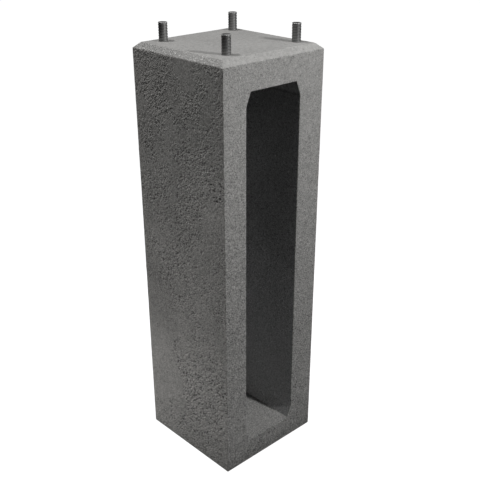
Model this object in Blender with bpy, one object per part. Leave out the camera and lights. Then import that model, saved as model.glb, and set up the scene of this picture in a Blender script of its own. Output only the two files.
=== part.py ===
"""Column base block: a tall square precast concrete pier with a deep pocket in one side
and four threaded anchor studs standing out of its top for a column's base plate.

Metres, +Z up. The origin is at the centre of the underside. The pocket opens to -Y.
"""

import math

import bmesh
import bpy

# Concrete block
block_side = 0.350
block_height = 1.200
top_bevel_inset = 0.017
top_bevel_drop = 0.0145

# Pocket in the -Y face, measured from the block's own faces
pocket_sill = 0.070
pocket_lintel = 0.083
pocket_left_jamb = 0.075
pocket_right_jamb = 0.085
pocket_back_wall = 0.085
pocket_corner_width = 0.015
pocket_corner_height = 0.0365

# Anchor studs, with their centre lines measured from the block's faces
stud_cover_left = 0.063
stud_cover_right = 0.045
stud_cover_front = 0.057
stud_cover_back = 0.051
stud_projection = 0.048
stud_embedment = 0.060
stud_end_bevel = 0.0015

# Thread of the studs
thread_crest_diameter = 0.024
thread_depth = 0.0016
thread_pitch = 0.0068

# Clearance between the cast-in steel and the concrete, and how far a cutter runs past a face
cast_in_gap = 0.0003
cutter_overrun = 0.010

# Facets round a stud and round its hole, which share them so that the gap stays even
stud_sides = 16


def clear_scene():
    for thing in list(bpy.data.objects):
        bpy.data.objects.remove(thing)


def make_material(name, colour, roughness, metallic):
    material = bpy.data.materials.new(name)
    material.use_nodes = True
    shader = material.node_tree.nodes["Principled BSDF"]
    shader.inputs["Base Color"].default_value = (*colour, 1.0)
    shader.inputs["Roughness"].default_value = roughness
    shader.inputs["Metallic"].default_value = metallic
    return material


def object_from_bmesh(name, shape):
    bmesh.ops.recalc_face_normals(shape, faces=shape.faces)
    mesh = bpy.data.meshes.new(name)
    shape.to_mesh(mesh)
    shape.free()
    thing = bpy.data.objects.new(name, mesh)
    bpy.context.scene.collection.objects.link(thing)
    return thing


def boolean(thing, cutter, operation):
    modifier = thing.modifiers.new(cutter.name, "BOOLEAN")
    modifier.operation = operation
    modifier.solver = "EXACT"
    modifier.object = cutter
    cutter.hide_render = True
    cutter.display_type = "WIRE"


def stacked_rings(name, rings):
    """A closed solid through rings of equally many points, capped flat at both ends."""
    shape = bmesh.new()
    loops = [[shape.verts.new(point) for point in ring] for ring in rings]
    for lower, upper in zip(loops, loops[1:]):
        for i in range(len(lower)):
            j = (i + 1) % len(lower)
            shape.faces.new((lower[i], lower[j], upper[j], upper[i]))
    shape.faces.new(loops[0])
    shape.faces.new(loops[-1])
    return object_from_bmesh(name, shape)


def square_ring(side, z):
    half = side / 2
    return [(-half, -half, z), (half, -half, z), (half, half, z), (-half, half, z)]


def round_ring(radius, z):
    steps = [2 * math.pi * i / stud_sides for i in range(stud_sides)]
    return [(radius * math.cos(a), radius * math.sin(a), z) for a in steps]


def pocket_outline(y):
    """The pocket's mouth with its four corners cut off, as points at one depth."""
    left = -block_side / 2 + pocket_left_jamb
    right = block_side / 2 - pocket_right_jamb
    low = pocket_sill
    high = block_height - pocket_lintel
    across = pocket_corner_width
    up = pocket_corner_height
    return [
        (left + across, y, low),
        (right - across, y, low),
        (right, y, low + up),
        (right, y, high - up),
        (right - across, y, high),
        (left + across, y, high),
        (left, y, high - up),
        (left, y, low + up),
    ]


def stud_places():
    """Each stud's name with the place of its centre line on the block's top."""
    left = -block_side / 2 + stud_cover_left
    right = block_side / 2 - stud_cover_right
    front = -block_side / 2 + stud_cover_front
    back = block_side / 2 - stud_cover_back
    return {
        "anchor_stud_front_left": (left, front),
        "anchor_stud_front_right": (right, front),
        "anchor_stud_back_left": (left, back),
        "anchor_stud_back_right": (right, back),
    }


def make_block(material):
    block = stacked_rings("concrete_block", [
        square_ring(block_side, 0),
        square_ring(block_side, block_height - top_bevel_drop),
        square_ring(block_side - 2 * top_bevel_inset, block_height),
    ])
    block.data.materials.append(material)

    front_face = -block_side / 2
    pocket_end = block_side / 2 - pocket_back_wall
    pocket = stacked_rings("pocket_cutter", [
        pocket_outline(front_face - cutter_overrun),
        pocket_outline(pocket_end),
    ])
    boolean(block, pocket, "DIFFERENCE")

    hole_radius = thread_crest_diameter / 2 + cast_in_gap
    hole_floor = block_height - stud_embedment - cast_in_gap
    for stud_name, (x, y) in stud_places().items():
        hole = stacked_rings(stud_name + "_hole_cutter", [
            round_ring(hole_radius, hole_floor),
            round_ring(hole_radius, block_height + cutter_overrun),
        ])
        hole.location = (x, y, 0)
        boolean(block, hole, "DIFFERENCE")
    return block


def thread_body(name, length):
    """A right-hand thread whose roots and crests run along helices. It runs past both
    ends of the length asked for, so that the envelope can cut it off square."""
    crest = thread_crest_diameter / 2
    root = crest - thread_depth
    turns = math.ceil(length / thread_pitch) + 2
    start = -1.5 * thread_pitch
    shape = bmesh.new()
    columns = []
    for side in range(stud_sides):
        angle = 2 * math.pi * side / stud_sides
        column = []
        for half_turn in range(2 * turns + 1):
            radius = crest if half_turn % 2 else root
            z = start + thread_pitch * (half_turn / 2 + side / stud_sides)
            column.append(shape.verts.new((radius * math.cos(angle), radius * math.sin(angle), z)))
        columns.append(column)
    # The last column joins the first one a whole turn higher up
    for side in range(stud_sides):
        this = columns[side]
        following = columns[(side + 1) % stud_sides]
        lift = 2 if side == stud_sides - 1 else 0
        for k in range(len(this) - 1 - lift):
            shape.faces.new((this[k], following[k + lift], following[k + 1 + lift], this[k + 1]))
    low_rim = [column[0] for column in columns] + [columns[0][2], columns[0][1]]
    high_rim = [column[-1] for column in columns] + [columns[-1][-2], columns[-1][-3]]
    close_end(shape, low_rim, start - thread_pitch)
    close_end(shape, high_rim, start + thread_pitch * (turns + 2))
    return object_from_bmesh(name, shape)


def close_end(shape, rim, tip_height):
    """Fans a ragged helical end to a point on the axis, well past the finished length."""
    tip = shape.verts.new((0, 0, tip_height))
    for a, b in zip(rim, rim[1:] + rim[:1]):
        shape.faces.new((a, b, tip))


def make_stud(name, place, material):
    length = stud_embedment + stud_projection
    stud = thread_body(name, length)
    envelope_radius = thread_crest_diameter / 2 + cast_in_gap / 2
    bevel_start = envelope_radius - stud_end_bevel
    envelope = stacked_rings(name + "_envelope", [
        round_ring(bevel_start, 0),
        round_ring(envelope_radius, stud_end_bevel),
        round_ring(envelope_radius, length - stud_end_bevel),
        round_ring(bevel_start, length),
    ])
    boolean(stud, envelope, "INTERSECT")
    seat = (*place, block_height - stud_embedment)
    stud.location = seat
    envelope.location = seat
    stud.data.materials.append(material)
    return stud


clear_scene()
concrete = make_material("precast_concrete", (0.36, 0.355, 0.345), 0.92, 0.0)
steel = make_material("dark_steel", (0.12, 0.12, 0.125), 0.45, 1.0)
make_block(concrete)
for stud_name, place in stud_places().items():
    make_stud(stud_name, place, steel)
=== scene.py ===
"""The looks of a precast concrete column base block with four threaded anchor studs,
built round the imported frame. Metres, +Z up, the pocket opens to -Y."""

import math

import bmesh
import bpy
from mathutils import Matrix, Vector


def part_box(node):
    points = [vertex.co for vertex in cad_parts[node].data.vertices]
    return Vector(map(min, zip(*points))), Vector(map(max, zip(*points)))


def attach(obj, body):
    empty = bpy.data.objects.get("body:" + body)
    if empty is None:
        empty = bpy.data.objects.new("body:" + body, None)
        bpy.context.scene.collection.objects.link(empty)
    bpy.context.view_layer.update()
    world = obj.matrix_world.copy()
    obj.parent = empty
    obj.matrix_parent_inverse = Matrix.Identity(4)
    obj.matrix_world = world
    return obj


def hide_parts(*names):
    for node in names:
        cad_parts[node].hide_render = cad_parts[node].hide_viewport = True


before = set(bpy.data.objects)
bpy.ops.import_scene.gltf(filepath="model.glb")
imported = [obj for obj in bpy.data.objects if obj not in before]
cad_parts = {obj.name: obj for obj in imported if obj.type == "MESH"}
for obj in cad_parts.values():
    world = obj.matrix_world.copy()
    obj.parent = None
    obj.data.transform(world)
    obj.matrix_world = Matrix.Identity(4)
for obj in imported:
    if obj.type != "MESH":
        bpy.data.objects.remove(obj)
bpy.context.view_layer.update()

# Viewpoint: a lens of medium length off the block's left front corner, a little above
# its top and looking down, so that the deck, the -X side and the pocket all show.
camera_place = (-1.3849, -1.5337, 1.5755)
camera_heading = 46.638
camera_dip = 26.612
camera_lens = 58.93
camera_sensor = 36
camera_shift = (-0.0123, 0.0666)

camera_data = bpy.data.cameras.new("camera")
camera_data.lens = camera_lens
camera_data.sensor_width = camera_sensor
camera_data.shift_x, camera_data.shift_y = camera_shift
camera = bpy.data.objects.new("camera", camera_data)
camera.location = camera_place
camera.rotation_euler = (math.radians(90 - camera_dip), 0, math.radians(camera_heading - 90))
bpy.context.scene.collection.objects.link(camera)
bpy.context.scene.camera = camera
bpy.context.scene.view_settings.view_transform = "Standard"

# Studio: a white floor in a bright surround, with a small key light in front of the pocket
# and another high behind the struck side. Soft panes hang above and to the left, and low
# ones stand in for the light that the floor throws back.
floor_half_width = 14.0
floor_grey = (0.25, 0.25, 0.25, 1)
floor_dullness = 0.9
floor_glow = 1.02
white = (1, 1, 1, 1)
deck_aim = (0, 0, 1.1)
middle_aim = (0, 0, 0.6)
foot_aim = (0, 0, 0.35)
above_left = (-0.9, 0, 1.0)
above_right = (0.6, -0.9, 1.0)
above_front = (0, -0.45, 1.0)

floor_mesh = bpy.data.meshes.new("studio_floor")
floor_mesh.from_pydata(
    [(x * floor_half_width, y * floor_half_width, 0) for x, y in ((-1, -1), (1, -1), (1, 1), (-1, 1))],
    [],
    [(0, 1, 2, 3)],
)
studio_floor = bpy.data.objects.new("studio_floor", floor_mesh)
studio_floor.visible_diffuse = False
studio_floor.visible_glossy = False
bpy.context.scene.collection.objects.link(studio_floor)
floor_paint = bpy.data.materials.new("floor_paint")
floor_paint.use_nodes = True
floor_shader = floor_paint.node_tree.nodes["Principled BSDF"]
floor_shader.inputs["Base Color"].default_value = floor_grey
floor_shader.inputs["Roughness"].default_value = floor_dullness
floor_shader.inputs["Specular IOR Level"].default_value = 0.0
floor_shader.inputs["Emission Color"].default_value = white
floor_shader.inputs["Emission Strength"].default_value = floor_glow
floor_mesh.materials.append(floor_paint)

surround = bpy.data.worlds.new("surround")
surround.use_nodes = True
surround.node_tree.nodes["Background"].inputs["Color"].default_value = white
surround.node_tree.nodes["Background"].inputs["Strength"].default_value = 1.0
surround.cycles_visibility.diffuse = False
surround.cycles_visibility.glossy = False
bpy.context.scene.world = surround


def studio_light(name, turn, reach, rise, aim, width, height, watts):
    """A soft rectangular light round the block, at a turn from +X, a reach and a rise."""
    data = bpy.data.lights.new(name, "AREA")
    data.shape = "RECTANGLE"
    data.size = width
    data.size_y = height
    data.energy = watts
    light = bpy.data.objects.new(name, data)
    light.location = (reach * math.cos(math.radians(turn)), reach * math.sin(math.radians(turn)), rise)
    light.rotation_euler = (Vector(aim) - light.location).to_track_quat("-Z", "Y").to_euler()
    light.visible_camera = False
    bpy.context.scene.collection.objects.link(light)


studio_light("key_light", -76, 1.70, 2.03, deck_aim, 0.18, 0.18, 20.4)
studio_light("high_light", 142, 0.75, 2.85, deck_aim, 0.16, 0.16, 12.4)
studio_light("top_light", 0, 0.01, 3.5, deck_aim, 1.0, 1.0, 5.6)
studio_light("left_sky", 178, 1.5, 4.0, deck_aim, 1.5, 1.5, 9.1)
studio_light("left_low_fill", 160, 1.0, 0.18, foot_aim, 0.6, 0.2, 1.6)
studio_light("left_floor_glow", 180, 0.9, 0.01, above_left, 1.2, 1.2, 1.25)
studio_light("right_floor_glow", -56, 1.08, 0.01, above_right, 0.9, 0.9, 0.65)
studio_light("front_floor_glow", -90, 0.45, 0.01, above_front, 0.4, 0.4, 0.14)
studio_light("back_fill", 50, 1.2, 0.35, middle_aim, 0.8, 0.6, 3.5)

# Concrete block: one precast pier of grey concrete, cast on its side in a steel mould, so
# that its arrises are nearly sharp. The pocket is left by a box with cut corners, and the
# -X side is the open one, struck off and left rough.
cell_size = 0.046
cell_slack = 0.2
halvings = 3
arris_radius = 0.0018
arris_angle = math.radians(30)
tiny = 0.0005

block_low, block_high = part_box("concrete_block")
block_points = [v.co.copy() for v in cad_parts["concrete_block"].data.vertices]


def levels(values):
    """The different values in a list, in order, with near twins taken as one."""
    found = []
    for value in sorted(values):
        if not found or value - found[-1] > tiny:
            found.append(value)
    return found


def stations(start, end):
    """Even steps of about one cell from start up to end, without the end itself."""
    count = max(1, math.ceil((end - start) / cell_size - cell_slack))
    return [start + (end - start) * i / count for i in range(count)]


# The corners of the pocket's mouth are the only points inside the front face
mouth = [
    p for p in block_points
    if abs(p.y - block_low.y) < tiny and abs(p.x) < block_high.x - tiny and tiny < p.z < block_high.z - tiny
]
mouth_left, cut_left, cut_right, mouth_right = levels([p.x for p in mouth])
sill, low_cut, high_cut, lintel = levels([p.z for p in mouth])
pocket_end = max(p.y for p in block_points if abs(p.z - sill) < tiny)
shoulder = levels([p.z for p in block_points])[-2]
deck_half = max(p.x for p in block_points if abs(p.z - block_high.z) < tiny)

# The block's surface is a cage of cells, whose points stand in files across the front, in
# ranks from the front to the back and in rows from the foot to the deck
rows = stations(0, sill) + [sill] + stations(low_cut, high_cut) + [high_cut] + stations(lintel, shoulder)
rows += [shoulder, block_high.z]
ranks = stations(block_low.y, pocket_end) + stations(pocket_end, block_high.y) + [block_high.y]
side_files = len(stations(block_low.x, cut_left))
mouth_files = len(stations(mouth_left, mouth_right))
files = 2 * side_files + mouth_files
near_file = side_files
far_file = side_files + mouth_files
pocket_ranks = len(stations(block_low.y, pocket_end))
sill_row = rows.index(sill)
lintel_row = rows.index(lintel)
last_row = len(rows) - 1
last_rank = len(ranks) - 1


def file_place(file, row):
    """Where a file runs at a row: the files beside the pocket follow its cut corners."""
    straight = low_cut - tiny < rows[row] < high_cut + tiny
    left = mouth_left if straight else cut_left
    right = mouth_right if straight else cut_right
    if file <= near_file:
        return block_low.x + (left - block_low.x) * file / side_files
    if file <= far_file:
        return left + (right - left) * (file - near_file) / mouth_files
    return right + (block_high.x - right) * (file - far_file) / side_files


cage = bmesh.new()
cage_points = {}


def corner(file, rank, row):
    """The cage point on a file, rank and row. The deck's points draw in to leave the bevel."""
    key = (file, rank, row)
    if key not in cage_points:
        draw_in = deck_half / block_high.x if row == last_row else 1.0
        cage_points[key] = cage.verts.new((file_place(file, row) * draw_in, ranks[rank] * draw_in, rows[row]))
    return cage_points[key]


def wall_cell(first, second, row):
    """An upright cell between two (file, rank) places, from a row to the next one up."""
    places = [(*first, row), (*second, row), (*second, row + 1), (*first, row + 1)]
    cage.faces.new([corner(*place) for place in places])


def flat_cell(file, rank, row, faces_up):
    """A level cell of the deck or the sill, or, turned over, of the underside or the lintel."""
    places = [(file, rank, row), (file + 1, rank, row), (file + 1, rank + 1, row), (file, rank + 1, row)]
    if not faces_up:
        places.reverse()
    cage.faces.new([corner(*place) for place in places])


for row in range(last_row):
    beside_pocket = sill_row <= row < lintel_row
    for file in range(files):
        in_mouth = beside_pocket and near_file <= file < far_file
        rank = pocket_ranks if in_mouth else 0
        wall_cell((file, rank), (file + 1, rank), row)
        wall_cell((file + 1, last_rank), (file, last_rank), row)
    for rank in range(last_rank):
        wall_cell((0, rank + 1), (0, rank), row)
        wall_cell((files, rank), (files, rank + 1), row)
    if beside_pocket:
        for rank in range(pocket_ranks):
            wall_cell((near_file, rank), (near_file, rank + 1), row)
            wall_cell((far_file, rank + 1), (far_file, rank), row)
for file in range(files):
    for rank in range(last_rank):
        flat_cell(file, rank, 0, False)
        flat_cell(file, rank, last_row, True)
for file in range(near_file, far_file):
    for rank in range(pocket_ranks):
        flat_cell(file, rank, sill_row, True)
        flat_cell(file, rank, lintel_row, False)
cage_mesh = bpy.data.meshes.new("block_cage")
cage.to_mesh(cage_mesh)
cage.free()
block_cage = bpy.data.objects.new("block_cage", cage_mesh)
bpy.context.scene.collection.objects.link(block_cage)


class Number:
    """A number that a node works out, so that sums with it are written as plain sums."""

    def __init__(self, socket):
        self.socket = socket

    def __add__(self, other):
        return reckon("ADD", self, other)

    def __radd__(self, other):
        return reckon("ADD", other, self)

    def __sub__(self, other):
        return reckon("SUBTRACT", self, other)

    def __rsub__(self, other):
        return reckon("SUBTRACT", other, self)

    def __mul__(self, other):
        return reckon("MULTIPLY", self, other)

    def __rmul__(self, other):
        return reckon("MULTIPLY", other, self)

    def __truediv__(self, other):
        return reckon("DIVIDE", self, other)

    def __rtruediv__(self, other):
        return reckon("DIVIDE", other, self)

    def __pow__(self, other):
        return reckon("POWER", self, other)


def add_node(tree, kind, inputs=None, **settings):
    """A new node with its settings, and its inputs as plain values, numbers or sockets."""
    node = tree.nodes.new(kind)
    for name, value in settings.items():
        setattr(node, name, value)
    for name, value in (inputs or {}).items():
        source = value.socket if isinstance(value, Number) else value
        if isinstance(source, bpy.types.NodeSocket):
            tree.links.new(source, node.inputs[name])
        else:
            node.inputs[name].default_value = source
    return node


def reckon(operation, first, second=0.0):
    """One sum of two numbers, in the tree of whichever of them a node works out."""
    worked_out = first if isinstance(first, Number) else second
    tree = worked_out.socket.id_data
    return Number(add_node(tree, "ShaderNodeMath", {0: first, 1: second}, operation=operation).outputs[0])


def combine(operation, first, second=(0, 0, 0)):
    """One sum of two places or directions, the first of them a socket."""
    node = add_node(first.id_data, "ShaderNodeVectorMath", {0: first, 1: second}, operation=operation)
    return node.outputs[0]


def scaled(direction, number):
    """A direction or a colour times a number that a node works out."""
    tree = number.socket.id_data
    node = add_node(tree, "ShaderNodeVectorMath", {0: direction, "Scale": number}, operation="SCALE")
    return node.outputs[0]


def parts(place):
    """The X, Y and Z of a place or a direction, as numbers."""
    return [Number(part) for part in add_node(place.id_data, "ShaderNodeSeparateXYZ", {0: place}).outputs]


def spread(value, start, end, low, high, **settings):
    """low where the value is at start and high where it is at end, and in proportion between."""
    return Number(add_node(value.socket.id_data, "ShaderNodeMapRange", {
        "Value": value, "From Min": start, "From Max": end, "To Min": low, "To Max": high},
        **settings).outputs["Result"])


def ramp(value, start, end, low=0.0, high=1.0):
    """low before start and high past end, with a soft change between them."""
    return spread(value, start, end, low, high, interpolation_type="SMOOTHSTEP")


def band(value, start, full, waning, end):
    """1 from full to waning, and 0 outside start and end, with soft changes between them."""
    return ramp(value, start, full) * ramp(value, end, waning)


def noise(place, scale, detail, roughness=0.5):
    """Noise about 0, from -1 to 1 at the most, whose blotches are about 1 / scale metres across."""
    texture = add_node(place.id_data, "ShaderNodeTexNoise", {
        "Vector": place, "Scale": scale, "Detail": detail, "Roughness": roughness})
    return (Number(texture.outputs["Fac"]) - 0.5) * 2.0


def tree_inputs(tree, kinds):
    """A geometry tree's named inputs, the numbers among them as numbers, and its end node."""
    tree.interface.new_socket("Geometry", in_out="OUTPUT", socket_type="NodeSocketGeometry")
    tree.interface.new_socket("Geometry", in_out="INPUT", socket_type="NodeSocketGeometry")
    for name, kind in kinds.items():
        tree.interface.new_socket(name, in_out="INPUT", socket_type="NodeSocket" + kind)
    start = tree.nodes.new("NodeGroupInput")
    given = {"Geometry": start.outputs["Geometry"]}
    for name, kind in kinds.items():
        socket = start.outputs[name]
        given[name] = Number(socket) if kind in ("Float", "Int") else socket
    return given, tree.nodes.new("NodeGroupOutput")


def marked(geometry, name, value, data_type="FLOAT"):
    """The geometry with a value kept at each of its points, for its material to read."""
    return add_node(geometry.id_data, "GeometryNodeStoreNamedAttribute", {
        "Geometry": geometry, "Name": name, "Value": value}, data_type=data_type, domain="POINT").outputs[0]


def finish_tree(tree, geometry, sharp_angle, material, end_node):
    """Ends a tree: edges that bend less than the angle are smooth, and the material is set."""
    bend = Number(tree.nodes.new("GeometryNodeInputMeshEdgeAngle").outputs["Unsigned Angle"])
    shaded = add_node(tree, "GeometryNodeSetShadeSmooth", {
        "Geometry": geometry, "Shade Smooth": reckon("LESS_THAN", bend, sharp_angle)}, domain="EDGE")
    realized = add_node(tree, "GeometryNodeRealizeInstances", {"Geometry": shaded.outputs[0]})
    painted = add_node(tree, "GeometryNodeSetMaterial", {
        "Geometry": realized.outputs[0], "Material": material})
    tree.links.new(painted.outputs[0], end_node.inputs["Geometry"])


def use_tree(thing, tree, values):
    """Adds the tree to an object and gives its named inputs their values."""
    modifier = thing.modifiers.new(tree.name, "NODES")
    modifier.node_group = tree
    for item in tree.interface.items_tree:
        if item.in_out == "INPUT" and item.name in values:
            modifier[item.identifier] = values[item.name]


def finished_mesh(thing, name):
    """A plain mesh object from an object with its modifiers, which is then removed."""
    evaluated = thing.evaluated_get(bpy.context.evaluated_depsgraph_get())
    mesh = bpy.data.meshes.new_from_object(evaluated)
    mesh.name = name
    bpy.data.objects.remove(thing)
    result = bpy.data.objects.new(name, mesh)
    bpy.context.scene.collection.objects.link(result)
    return result


# The relief of the cast skin: long low waves of the mould, a fine uneven grain, and on
# the struck side deeper lumps in patches, which are floated down on its bevel. Here and
# below, a noise is given as its scale, its detail and, where it isn't 0.5, its roughness,
# and a pair for a ramp is where it starts and where it ends.
wave_depth = 0.0004
wave_noise = (9.0, 2.0)
grain_depth = 0.0002
grain_noise = (70.0, 3.0)
struck_depth = 0.0008
struck_noise = (60.0, 3.0, 0.6)
patch_noise = (11.0, 2.0)
patch_edges = (-0.35, 0.25)
struck_facing = (0.35, 0.62)
floated_rise = (-0.0005, 0.0015)
floated_ease = 0.6
flat_foot = (0.0005, 0.004)
crease_angle = math.radians(22)
# How far the box that marks the pocket's own faces runs past them, and starts behind the mouth
pocket_margin = 0.004
pocket_end_margin = 0.010
mouth_inset = 0.001

cast_relief = bpy.data.node_groups.new("cast_relief", "GeometryNodeTree")
given, relief_end = tree_inputs(cast_relief, {
    "Wave Depth": "Float", "Grain Depth": "Float", "Struck Depth": "Float", "Struck Side": "Float",
    "Shoulder": "Float", "Pocket Low": "Vector", "Pocket High": "Vector", "Material": "Material"})
spot = cast_relief.nodes.new("GeometryNodeInputPosition").outputs[0]
outward = cast_relief.nodes.new("GeometryNodeInputNormal").outputs[0]
spot_x, _, spot_z = parts(spot)
facing_x = parts(outward)[0]
struck = ramp(facing_x * -1.0, *struck_facing) * reckon("LESS_THAN", spot_x, given["Struck Side"])
floated = ramp(spot_z - given["Shoulder"], *floated_rise)
patches = ramp(noise(spot, *patch_noise), *patch_edges)
waves = noise(spot, *wave_noise) * given["Wave Depth"]
grain = noise(spot, *grain_noise) * given["Grain Depth"]
lumps = noise(spot, *struck_noise) * given["Struck Depth"] * patches * struck
lumps = lumps * (1.0 - floated_ease * floated)
# The underside stays flat, so that the block stands on the floor without sinking into it
relief = (waves + grain + lumps) * ramp(spot_z, *flat_foot)
over_low = combine("SUBTRACT", spot, given["Pocket Low"])
under_high = combine("SUBTRACT", given["Pocket High"], spot)
inside_x, inside_y, inside_z = parts(combine("MINIMUM", over_low, under_high))
least_inside = reckon("MINIMUM", reckon("MINIMUM", inside_x, inside_y), inside_z)
skin = marked(given["Geometry"], "struck", struck)
skin = marked(skin, "floated", floated)
skin = marked(skin, "boxed", ramp(least_inside, 0.0, pocket_margin))
moved = add_node(cast_relief, "GeometryNodeSetPosition", {
    "Geometry": skin, "Offset": scaled(outward, relief)})
finish_tree(cast_relief, moved.outputs[0], crease_angle, given["Material"], relief_end)

# Grey concrete: cement paste with sand showing as light and dark grains. Its look is a grey
# times a tone, which is 1 on plain concrete and is worked out step by step below.
plain_grey = (0.440, 0.435, 0.424, 1)
struck_grey = (0.453, 0.443, 0.427, 1)
pocket_grey = (0.395, 0.396, 0.398, 1)
concrete_dullness = 0.93
concrete_shine = 0.25
upward_facing = (0.3, 0.7)

concrete = bpy.data.materials.new("precast_concrete")
concrete.use_nodes = True
concrete_tree = concrete.node_tree
concrete_shader = concrete_tree.nodes["Principled BSDF"]
place = concrete_tree.nodes.new("ShaderNodeTexCoord").outputs["Object"]
place_x, place_y, place_z = parts(place)
facing_up = parts(concrete_tree.nodes.new("ShaderNodeNewGeometry").outputs["Normal"])[2]


def attribute(tree, name):
    """A number that the geometry kept at its points."""
    return Number(add_node(tree, "ShaderNodeAttribute", attribute_name=name).outputs["Fac"])


rough_side = attribute(concrete_tree, "struck")
deck_side = attribute(concrete_tree, "floated")
boxed = attribute(concrete_tree, "boxed")
# The pocket's upward faces, which are painted paler further down as painted light
pocket_floor = ramp(facing_up, *upward_facing) * boxed
pocket_side = boxed - pocket_floor
struck_bevel = rough_side * deck_side

# The struck side is rough in patches: more so low at the front, and less so in a strip
# towards the back and at the foot of the front arris
rough_noise = (14.0, 3.0)
rough_edges = (-0.42, 0.24)
strip_ease = 0.55
low_front_gain = 0.35
low_corner_ease = 0.40
smooth_strip = ramp(place_y, 0.00, 0.13) * band(place_z, 0.05, 0.20, 0.40, 0.62)
low_front = ramp(place_y, 0.08, -0.04) * ramp(place_z, 0.50, 0.36)
low_corner = ramp(place_y, -0.12, -0.17) * ramp(place_z, 0.22, 0.08)
rough_patches = noise(place, *rough_noise) - strip_ease * smooth_strip
rough_patches = rough_patches + low_front_gain * low_front - low_corner_ease * low_corner
rough_part = rough_side * ramp(rough_patches, *rough_edges)

# The painted relief shade of the struck side is weakest from the knee to the waist, where it
# was pressed hardest. It is coarser above and below, save for the last hand's breadth at the foot.
least_coarse = 0.83
upper_gain = 0.20
low_gain = 0.48
belt_gain = 0.25
toe_ease = 0.45
upper_part = ramp(place_z, 0.56, 0.80)
low_part = ramp(place_z, 0.42, 0.20)
belt = band(place_z, 0.72, 0.80, 0.92, 1.00)
toe = ramp(place_z, 0.16, 0.03)
coarseness = upper_gain * upper_part + low_gain * low_part + belt_gain * belt + least_coarse
coarseness = coarseness - toe_ease * toe

# Painted shade: the lumps are painted as if lit from above, lighter where they slope upwards
# and darker under them, and the pits are painted darker. The lumps are a noise that is combed
# along one slant, and two readings of it give their slope.
comb_slant = math.radians(40)
comb_stretch = (1.0, 0.72, 1.0)
lump_noise = (151.0, 3.0, 0.74)
slope_step = 0.00125
pit_edges = (-0.05, -0.38)
lump_shades = (1.10, 1.55)
pit_shades = (0.95, 0.75)
combed = add_node(concrete_tree, "ShaderNodeVectorRotate", {
    "Vector": place, "Angle": comb_slant}, rotation_type="X_AXIS").outputs[0]
combed = combine("MULTIPLY", combed, comb_stretch)
lump_height = noise(combed, *lump_noise)
above = noise(combine("ADD", combed, (0, 0, slope_step)), *lump_noise)
below = noise(combine("ADD", combed, (0, 0, -slope_step)), *lump_noise)
pits = ramp(lump_height, *pit_edges)
lump_shade = (above - below) * spread(place_z, 0.0, block_high.z, *lump_shades)
pit_shade = pits * spread(place_z, 0.0, block_high.z, *pit_shades)
shade = (lump_shade + pit_shade) * rough_part * coarseness * (1.0 - deck_side)

# Sand, a mottle and soft clouds cover every face. The sand is sharpest low down and towards
# the struck side, and weaker at the top of the other sides. Low on the struck side the lumps
# stand clear of it, and on the deck most of it was floated under.
sand_noise = (330.0, 2.0)
mottle_noise = (100.0, 3.0)
cloud_noise = (10.0, 3.0)
sand_by_height = (1.90, 0.92)
sand_top = (1.15, 0.85)
sand_top_share = 0.30
low_lump_ease = 0.45
deck_sand_ease = 0.65
low_lumps = ramp(place_z, 0.60, 0.35) * rough_side
sharpness = spread(place_z, 0.0, block_high.z, *sand_by_height) + place_x * -1.0
sharpness = sharpness * ((ramp(place_z, *sand_top) - 0.5) * (1.0 - rough_side) * sand_top_share + 1.0)
sharpness = sharpness * (1.0 - low_lump_ease * low_lumps)
sand = noise(place, *sand_noise) * sharpness * (1.0 - deck_sand_ease * deck_side)
mottle = noise(place, *mottle_noise)
clouds = noise(place, *cloud_noise)

# Fine pores and pale specks lie among it, and painted highlights catch the grit along the struck bevel
pore_noise = (210.0, 1.0)
pore_edges = (-0.28, -0.45)
speck_noise = (240.0, 0.0)
speck_edges = (0.52, 0.70)
deck_speck_ease = 0.75
grit_noise = (225.0, 3.0, 0.7)
grit_edges = (0.08, 0.42)
pores = ramp(noise(place, *pore_noise), *pore_edges)
specks = ramp(noise(place, *speck_noise), *speck_edges) * (1.0 - deck_speck_ease * deck_side)
grit = noise(place, *grit_noise)
grit_highlights = ramp(grit, *grit_edges) * struck_bevel

# The tone that all these give together. The pocket's sides are calmer towards the foot.
cloud_share = 0.14
mottle_share = 0.30
grit_highlights_share = 1.45
pore_share = 0.30
speck_share = 0.8
calm_share = 0.52
darkest_tone = 0.15
calm = 1.0 - calm_share * (ramp(place_z, 0.62, 0.20) * pocket_side)
tone = 1.0 + cloud_share * clouds + (sand + mottle_share * mottle) * calm - shade
tone = tone + grit_highlights_share * grit_highlights - pore_share * pores + speck_share * specks
tone = reckon("MAXIMUM", tone, darkest_tone)

# The pocket's floor is painted paler, as painted light. Its sides are painted paler in the lower
# half and darker in the upper half, as painted light and shade, and darkest in the crease where
# the top cuts begin, as painted shade.
floor_light_gain = 0.13
side_light_shade = (-0.13, 0.18)
side_light_shade_top = (0.74, 0.40)
crease_reach = (0.006, 0.001)
crease_shade_share = 0.28
tone = tone + floor_light_gain * pocket_floor
crease = ramp(reckon("ABSOLUTE", place_z - high_cut), *crease_reach)
side_tone = ramp(place_z, *side_light_shade_top, *side_light_shade) - crease_shade_share * crease
tone = tone * (side_tone * pocket_side + 1.0)

# A painted shadow lies on the pocket's floor along the foot of its right-hand cut, in a wedge
# that widens inwards
wedge_slant = 0.092
wedge_outer_inset = 0.017
wedge_full_inset = 0.013
wedge_start = (-0.145, -0.10)
wedge_shadow_share = 0.45
slanted_x = place_x + wedge_slant * place_y
wedge = ramp(slanted_x, cut_right - wedge_outer_inset, cut_right - wedge_full_inset)
wedge = wedge * ramp(place_y, *wedge_start) * pocket_floor
tone = tone * (1.0 - wedge_shadow_share * wedge)

# The struck bevel and the block's whole foot are painted a little paler, as painted light
bevel_gain = 0.09
foot_gain = 0.10
foot_heights = (0.08, 0.03)
tone = tone * (bevel_gain * struck_bevel + 1.0)
tone = tone * (foot_gain * ramp(place_z, *foot_heights) + 1.0)
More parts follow.
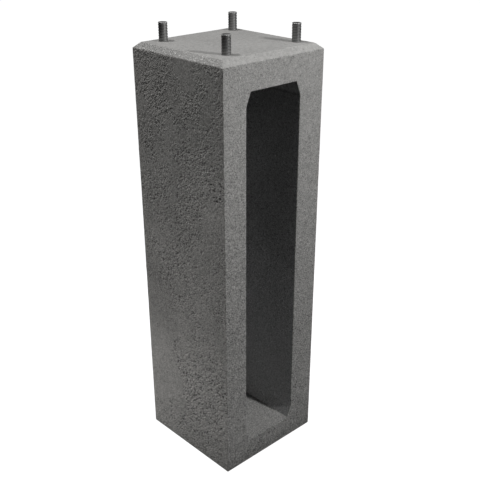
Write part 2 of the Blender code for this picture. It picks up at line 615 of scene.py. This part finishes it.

# Painted light and shade: the struck side is darker at its waist, most of all towards the back,
# paler at the foot below it, at the chest towards the front and over its lower half, and the
# pocket's sides are paler at the top
waist_shade = -0.05
back_shade = -0.17
pale_foot_gain = 0.16
chest_gain = 0.15
lower_gain = 0.03
pocket_top_gain = 0.15
towards_back = ramp(place_y, 0.01, 0.15)
towards_front = ramp(place_y, 0.03, -0.12)
waist = band(place_z, 0.29, 0.42, 0.54, 0.68)
chest = band(place_z, 0.72, 0.80, 0.88, 1.00)
pale_foot = ramp(place_z, 0.19, 0.05)
lower_half = ramp(place_z, 0.50, 0.32)
pocket_top = ramp(place_z, 0.80, 1.02) * pocket_side
painted_light_and_shade = waist * (back_shade * towards_back + waist_shade)
painted_light_and_shade = painted_light_and_shade + pale_foot_gain * (pale_foot * towards_back) + chest_gain * (chest * towards_front)
painted_light_and_shade = (painted_light_and_shade + lower_gain * lower_half) * rough_side + pocket_top_gain * pocket_top
tone = tone * (painted_light_and_shade + 1.0)

grey = add_node(concrete_tree, "ShaderNodeMixRGB", {
    "Fac": rough_side - struck_bevel, "Color1": plain_grey, "Color2": struck_grey}).outputs[0]
grey = add_node(concrete_tree, "ShaderNodeMixRGB", {
    "Fac": pocket_side, "Color1": grey, "Color2": pocket_grey}).outputs[0]
concrete_tree.links.new(scaled(grey, tone), concrete_shader.inputs["Base Color"])
concrete_shader.inputs["Roughness"].default_value = concrete_dullness
concrete_shader.inputs["Specular IOR Level"].default_value = concrete_shine

# The same sand, lumps and grit also stand up from the surface, in shares of a millimetre
bump_height = 0.001
sand_bump = 0.15
lump_bump = 1.8
grit_bump = 0.6
bumps = sand_bump * sand + lump_bump * (lump_height * rough_part + grit_bump * (grit * struck_bevel))
bumped = add_node(concrete_tree, "ShaderNodeBump", {
    "Height": bumps, "Distance": bump_height, "Strength": 1.0})
concrete_tree.links.new(bumped.outputs[0], concrete_shader.inputs["Normal"])

halving = block_cage.modifiers.new("halving", "SUBSURF")
halving.subdivision_type = "SIMPLE"
halving.levels = halvings
halving.render_levels = halvings
arris = block_cage.modifiers.new("arris", "BEVEL")
arris.width = arris_radius
arris.segments = 2
arris.limit_method = "ANGLE"
arris.angle_limit = arris_angle
use_tree(block_cage, cast_relief, {
    "Wave Depth": wave_depth, "Grain Depth": grain_depth, "Struck Depth": struck_depth,
    "Struck Side": -deck_half + arris_radius, "Shoulder": shoulder,
    "Pocket Low": (mouth_left - pocket_margin, block_low.y + mouth_inset, sill - pocket_margin),
    "Pocket High": (mouth_right + pocket_margin, pocket_end + pocket_end_margin, lintel + pocket_margin),
    "Material": concrete})
cast_block = finished_mesh(block_cage, "cast_block")
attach(cast_block, "root")
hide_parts("concrete_block")

# Anchor studs: four coarse-threaded bars of dark mill-finish steel, cast into the concrete
# so that their ends stand up through the deck and take the nuts of the column's base plate.
stud_sides = 48
stud_row_step = 0.00035
stud_crest_radius = 0.012
stud_groove_depth = 0.0010
stud_groove_sharpness = 1.5
stud_pitch = 0.0068
stud_end_bevel = 0.0011
groove_runout = (0.0008, 0.0022)
closing_distance = 0.00001
sawn_face_depth = 0.0001
thread_edge_angle = math.radians(28)

threaded_bar = bpy.data.node_groups.new("threaded_bar", "GeometryNodeTree")
given, bar_end = tree_inputs(threaded_bar, {
    "Place": "Vector", "Length": "Float", "Rows": "Int", "Sides": "Int", "Crest Radius": "Float",
    "Groove Depth": "Float", "Groove Sharpness": "Float", "Pitch": "Float", "End Bevel": "Float",
    "Material": "Material"})
sheet = add_node(threaded_bar, "GeometryNodeMeshGrid", {
    "Vertices X": given["Sides"] + 1.0, "Vertices Y": given["Rows"] + 2.0}).outputs["Mesh"]
flat_x, flat_y, _ = parts(threaded_bar.nodes.new("GeometryNodeInputPosition").outputs[0])
turn = flat_x + 0.5
angle = turn * math.tau
# The first and last rows of the sheet close the bar's two ends
spare = 1.0 / given["Rows"]
along = spread(flat_y, -0.5, 0.5, spare * -1.0, spare + 1.0, clamp=False)
within = Number(add_node(threaded_bar, "ShaderNodeClamp", {"Value": along}).outputs[0])
beyond = reckon("GREATER_THAN", reckon("ABSOLUTE", along - within), spare * 0.5)
rise = within * given["Length"]
to_end = reckon("MINIMUM", rise, given["Length"] - rise)
# The groove follows a helix and runs out just before the bar's cut ends
wave = reckon("COSINE", (rise / given["Pitch"] - turn) * math.tau)
groove = spread(wave, -1.0, 1.0, 0.0, 1.0) ** given["Groove Sharpness"] * ramp(to_end, *groove_runout)
thread_radius = given["Crest Radius"] - groove * given["Groove Depth"]
# The bar's ends are rounded off over the bevel's height
short = reckon("MAXIMUM", given["End Bevel"] - to_end, 0.0)
corner_width = given["End Bevel"] - reckon("SQRT", given["End Bevel"] ** 2.0 - short ** 2.0)
radius = reckon("MINIMUM", thread_radius, given["Crest Radius"] - corner_width) * (1.0 - beyond)
side_x = reckon("COSINE", angle)
side_y = reckon("SINE", angle)
bar_side = add_node(threaded_bar, "ShaderNodeCombineXYZ", {"X": side_x, "Y": side_y}).outputs[0]
rolled_place = add_node(threaded_bar, "ShaderNodeCombineXYZ", {
    "X": radius * side_x, "Y": radius * side_y, "Z": rise}).outputs[0]
filed = reckon("LESS_THAN", to_end, given["End Bevel"]) * reckon("GREATER_THAN", to_end, sawn_face_depth)
sheet = marked(sheet, "cut end", filed)
sheet = marked(sheet, "thread root", groove)
sheet = marked(sheet, "bar side", bar_side, "FLOAT_VECTOR")
rolled = add_node(threaded_bar, "GeometryNodeSetPosition", {
    "Geometry": sheet, "Position": combine("ADD", rolled_place, given["Place"])})
closed = add_node(threaded_bar, "GeometryNodeMergeByDistance", {
    "Geometry": rolled.outputs[0], "Distance": closing_distance})
finish_tree(threaded_bar, closed.outputs[0], thread_edge_angle, given["Material"], bar_end)

# Mill scale: a dull dark grey with faint blotches, painted shade on the upper flanks of the
# thread and in its roots, and a ring round each end that is filed steel with a painted highlight
steel_grey = (0.36, 0.36, 0.357)
steel_dullness = 0.50
blotch_noise = (350.0, 3.0)
blotch_share = 0.10
ring_highlight_share = 1.7
root_shade_share = 0.20
flank_shade_share = 0.22
end_face_darkening = 0.30
blotch_dullness = 0.05
filed_dullness = 0.12
steel_metallic = 0.85
side_tilt = (0.9, 0.6)
flank_tilt = (0.02, 0.45)
sawn_tilt = (0.93, 0.99)
stud_wear = 2.5
rasp_noise = (900.0, 2.0)
rasp_height = 0.0001
rasp_strength = 0.3

steel = bpy.data.materials.new("dark_steel")
steel.use_nodes = True
steel_tree = steel.node_tree
steel_shader = steel_tree.nodes["Principled BSDF"]
steel_place = steel_tree.nodes.new("ShaderNodeTexCoord").outputs["Object"]
steel_normal = steel_tree.nodes.new("ShaderNodeNewGeometry").outputs["Normal"]
tilt = parts(steel_normal)[2]
cut_end = attribute(steel_tree, "cut end")
thread_root = attribute(steel_tree, "thread root")
blotches = noise(steel_place, *blotch_noise)
side_of_bar = ramp(tilt, *side_tilt)
shaded_flank = ramp(tilt, *flank_tilt) * side_of_bar * (1.0 - cut_end)
# The filed ring carries a painted highlight, and the thread's roots and upper flanks carry painted shade
steel_tone = 1.0 + blotch_share * blotches + ring_highlight_share * cut_end
steel_tone = steel_tone - root_shade_share * thread_root - flank_shade_share * shaded_flank
# The flat face of each end is painted darker than the filed ring round it
steel_tone = steel_tone - end_face_darkening * ramp(tilt, *sawn_tilt)
steel_tree.links.new(scaled(steel_grey, steel_tone), steel_shader.inputs["Base Color"])
steel_shader.inputs["Metallic"].default_value = steel_metallic
dullness = blotch_dullness * blotches + steel_dullness + filed_dullness * cut_end
steel_tree.links.new(dullness.socket, steel_shader.inputs["Roughness"])
# Worn crests and packed roots make the thread shine nearly as a plain round bar does
wear = side_of_bar * (1.0 - cut_end) * stud_wear
round_side = add_node(steel_tree, "ShaderNodeAttribute", attribute_name="bar side").outputs["Vector"]
worn_normal = combine("NORMALIZE", combine("ADD", scaled(round_side, wear), steel_normal))
steel_bump = add_node(steel_tree, "ShaderNodeBump", {
    "Height": noise(steel_place, *rasp_noise), "Distance": rasp_height, "Strength": rasp_strength,
    "Normal": worn_normal})
steel_tree.links.new(steel_bump.outputs[0], steel_shader.inputs["Normal"])

for node_name in [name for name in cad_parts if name.startswith("anchor_stud")]:
    stud_low, stud_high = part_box(node_name)
    stud_length = stud_high.z - stud_low.z
    bar_mesh = bpy.data.meshes.new(node_name)
    bar = bpy.data.objects.new(node_name + "_bar", bar_mesh)
    bpy.context.scene.collection.objects.link(bar)
    use_tree(bar, threaded_bar, {
        "Place": ((stud_low.x + stud_high.x) / 2, (stud_low.y + stud_high.y) / 2, stud_low.z),
        "Length": stud_length, "Rows": round(stud_length / stud_row_step), "Sides": stud_sides,
        "Crest Radius": stud_crest_radius, "Groove Depth": stud_groove_depth,
        "Groove Sharpness": stud_groove_sharpness, "Pitch": stud_pitch,
        "End Bevel": stud_end_bevel, "Material": steel})
    threaded_stud = finished_mesh(bar, node_name.replace("anchor", "threaded"))
    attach(threaded_stud, "root")
    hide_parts(node_name)
